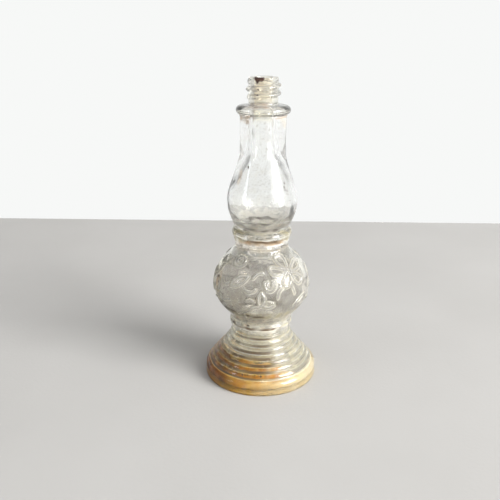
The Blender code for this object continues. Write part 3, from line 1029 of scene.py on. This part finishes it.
# Each speck: azimuth, height, half its width, half its height, thickness.
OUTSIDE_SPECKS = (
    (-33, 84.6, 0.28, 0.42, 0.16), (44, 79.0, 0.24, 0.32, 0.12), (42, 77.8, 0.28, 0.36, 0.12),
    (42.5, 76.7, 0.22, 0.28, 0.1), (47, 76.2, 0.2, 0.26, 0.1), (-66, 42.7, 0.3, 0.6, 0.14),
    (-37, 98.6, 0.16, 0.2, 0.08), (-34, 96.9, 0.2, 0.16, 0.08), (-38, 95.4, 0.15, 0.24, 0.08),
    (-35, 93.8, 0.18, 0.2, 0.08), (-31, 92.9, 0.14, 0.16, 0.08), (-36, 90.8, 0.18, 0.24, 0.08),
    (22, 81.6, 0.16, 0.2, 0.08), (36, 73.9, 0.18, 0.22, 0.08), (50, 72.8, 0.16, 0.2, 0.08),
    (-64, 41.0, 0.3, 0.4, 0.14), (-63, 38.4, 0.22, 0.4, 0.12), (-50, 39.9, 0.2, 0.3, 0.12),
    (-51, 37.4, 0.24, 0.3, 0.12), (59, 34.8, 0.2, 0.5, 0.12), (51, 33.9, 0.2, 0.4, 0.12),
    (-37, 33.7, 0.3, 0.2, 0.12), (-26, 35.6, 0.2, 0.2, 0.1), (-42, 33.6, 0.24, 0.2, 0.12),
    (-30, 18.7, 0.3, 0.26, 0.14), (-24, 24.0, 0.6, 0.26, 0.14), (-60, 23.2, 0.7, 0.36, 0.16),
    (-26, 21.4, 0.24, 0.3, 0.12), (-52, 31.6, 0.9, 0.3, 0.12), (-61, 33.0, 0.7, 0.36, 0.12),
    (-20, 109.2, 0.25, 0.3, 0.12), (-17, 111.0, 0.3, 0.25, 0.1), (150, 70.0, 0.25, 0.35, 0.12),
    (190, 44.0, 0.3, 0.3, 0.12), (-140, 35.0, 0.25, 0.4, 0.12), (125, 84.0, 0.2, 0.35, 0.12),
    (210, 22.5, 0.4, 0.3, 0.14), (170, 12.6, 0.3, 0.25, 0.12),
)

# Each row of crumbs: height, first and last azimuth, and how many.
CRUMB_ROWS = (
    (8.7, -62, -8, 20), (6.9, -66, 12, 54), (6.3, -60, 4, 34), (5.2, 20, 46, 9), (9.3, -40, 0, 9),
)
CRUMB_SUNK = 0.17               # how far crumbs lie in the glass, to show through the film


def foot_crumbs():
    """Return places for the dark crumbs that dried in rows inside the foot."""
    spread = 0.18
    rng = np.random.RandomState(7)
    places = []
    for height, from_azimuth, to_azimuth, count in CRUMB_ROWS:
        for _ in range(count):
            size = rng.uniform(0.10, 0.27)
            places.append((
                rng.uniform(from_azimuth, to_azimuth), height + rng.normal() * spread,
                size * 1.2, size * rng.uniform(0.45, 0.9), size * 0.8,
            ))
    return places


# ---------------------------------------------------------------------------------------
# Stage, lights and camera
# ---------------------------------------------------------------------------------------

def make_floor():
    """Make the plain pale table that the bottle stands on."""
    back = 0.207
    front = -1.0
    half = 0.9
    thick = 0.03
    edge = 0.002
    shape = bmesh.new()
    bmesh.ops.create_cube(shape, size=1.0)
    for vertex in shape.verts:
        vertex.co.x *= 2 * half
        vertex.co.y = back if vertex.co.y > 0 else front
        vertex.co.z = (vertex.co.z - 0.5) * thick
    bmesh.ops.bevel(
        shape, geom=shape.edges[:] + shape.verts[:], offset=edge, segments=3, affect="EDGES",
    )
    mesh = bpy.data.meshes.new("floor")
    shape.to_mesh(mesh)
    shape.free()
    mesh.materials.append(floor_material())
    floor = bpy.data.objects.new("floor", mesh)
    bpy.context.scene.collection.objects.link(floor)


# Each soft box: name, azimuth, elevation, distance, width, height, power in watts, colour.
# The window has a bright middle and a dimmer, wider glow around it, for a soft-edged highlight.
LIGHTS = (
    ("window", 60, 21, 1.80, 0.92, 1.18, 56.0, (1.0, 1.0, 1.0)),
    ("window_glow", 60, 21, 1.86, 1.72, 1.83, 21.0, (1.0, 1.0, 1.0)),
    ("fill", -62, 17, 0.70, 0.10, 0.16, 0.30, (0.85, 0.92, 1.0)),
)


def make_light(name, azimuth, elevation, distance, wide, tall, power, colour):
    """Make a soft box that faces the bottle."""
    aim_height = 0.05
    light = bpy.data.lights.new(name, "AREA")
    light.shape = "RECTANGLE"
    light.size = wide
    light.size_y = tall
    light.energy = power
    light.color = colour
    lamp = bpy.data.objects.new(name, light)
    a = math.radians(azimuth)
    e = math.radians(elevation)
    aim = Vector((0.0, 0.0, aim_height))
    lamp.location = aim + distance * Vector(
        (math.sin(a) * math.cos(e), -math.cos(a) * math.cos(e), math.sin(e))
    )
    lamp.rotation_euler = (aim - lamp.location).to_track_quat("-Z", "Y").to_euler()
    bpy.context.scene.collection.objects.link(lamp)


def make_world():
    """Make a plain studio around the bottle: pale at the horizon, greyer above, paler on top."""
    stops = [
        (0.0, (0.93, 0.94, 0.93)), (0.20, (0.92, 0.93, 0.92)), (0.42, (0.42, 0.42, 0.41)),
        (0.66, (0.32, 0.32, 0.32)), (0.85, (0.70, 0.71, 0.72)),
    ]
    world = bpy.data.worlds.new("studio")
    world.use_nodes = True
    tree = world.node_tree
    shader = tree.nodes["Background"]
    place = tree.nodes.new("ShaderNodeTexCoord")
    split = tree.nodes.new("ShaderNodeSeparateXYZ")
    ramp = tree.nodes.new("ShaderNodeValToRGB")
    tree.links.new(place.outputs["Generated"], split.inputs["Vector"])
    tree.links.new(split.outputs["Z"], ramp.inputs["Fac"])
    tree.links.new(ramp.outputs["Color"], shader.inputs["Color"])
    fill_ramp(ramp, stops)
    shader.inputs["Strength"].default_value = 1.0
    bpy.context.scene.world = world


def make_camera():
    """Make the camera at the photograph's height, distance and tilt."""
    lens = 44.36
    sensor = 36.0
    nearest = 0.005
    back = 0.2223
    up = 0.1303
    tilt = math.radians(19.67)
    turn = math.radians(-1.15)
    roll = math.radians(0.275)
    forward = math.cos(tilt) * Vector((math.sin(turn), math.cos(turn), -math.tan(tilt)))
    right = Vector((math.cos(turn), -math.sin(turn), 0.0))
    above = right.cross(forward)
    right = math.cos(roll) * right + math.sin(roll) * above
    above = right.cross(forward)
    camera = bpy.data.cameras.new("camera")
    camera.lens = lens
    camera.sensor_width = sensor
    camera.clip_start = nearest
    holder = bpy.data.objects.new("camera", camera)
    axes = Matrix((right, above, -forward)).transposed().to_4x4()
    holder.matrix_world = Matrix.Translation((0.0, -back, up)) @ axes
    bpy.context.scene.collection.objects.link(holder)
    bpy.context.scene.camera = holder


# ---------------------------------------------------------------------------------------
# Everything together
# ---------------------------------------------------------------------------------------

def add_residue(piece, slot, *nodes):
    """Let a piece of residue ride on the bottle, in place of CAD nodes where it has any."""
    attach(piece, "root")
    if nodes:
        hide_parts(*nodes)


def main():
    """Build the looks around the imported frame."""
    make_camera()
    make_world()
    make_floor()
    for light in LIGHTS:
        make_light(*light)

    body = make_glass_body()
    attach(body, "root")
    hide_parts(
        "threaded_neck", "upper_collar", "chimney", "lower_collar", "globe",
        "waist_ring", "stepped_foot", "foot_band", "foot_floor",
    )

    crust = crust_material()
    add_residue(make_foot_film(film_material()), "amber_residue", "foot_residue")
    add_residue(make_lip_scrap(crust), "brown_residue", "lip_residue")
    add_residue(make_blobs("outside_specks", OUTSIDE, 0.0, OUTSIDE_SPECKS, crust), "brown_residue")
    add_residue(make_blobs("foot_crumbs", INSIDE, CRUMB_SUNK, foot_crumbs(), crust), "brown_residue")

    scene = bpy.context.scene
    scene.view_settings.view_transform = "Standard"
    scene.cycles.max_bounces = 32
    scene.cycles.transmission_bounces = 32


main()
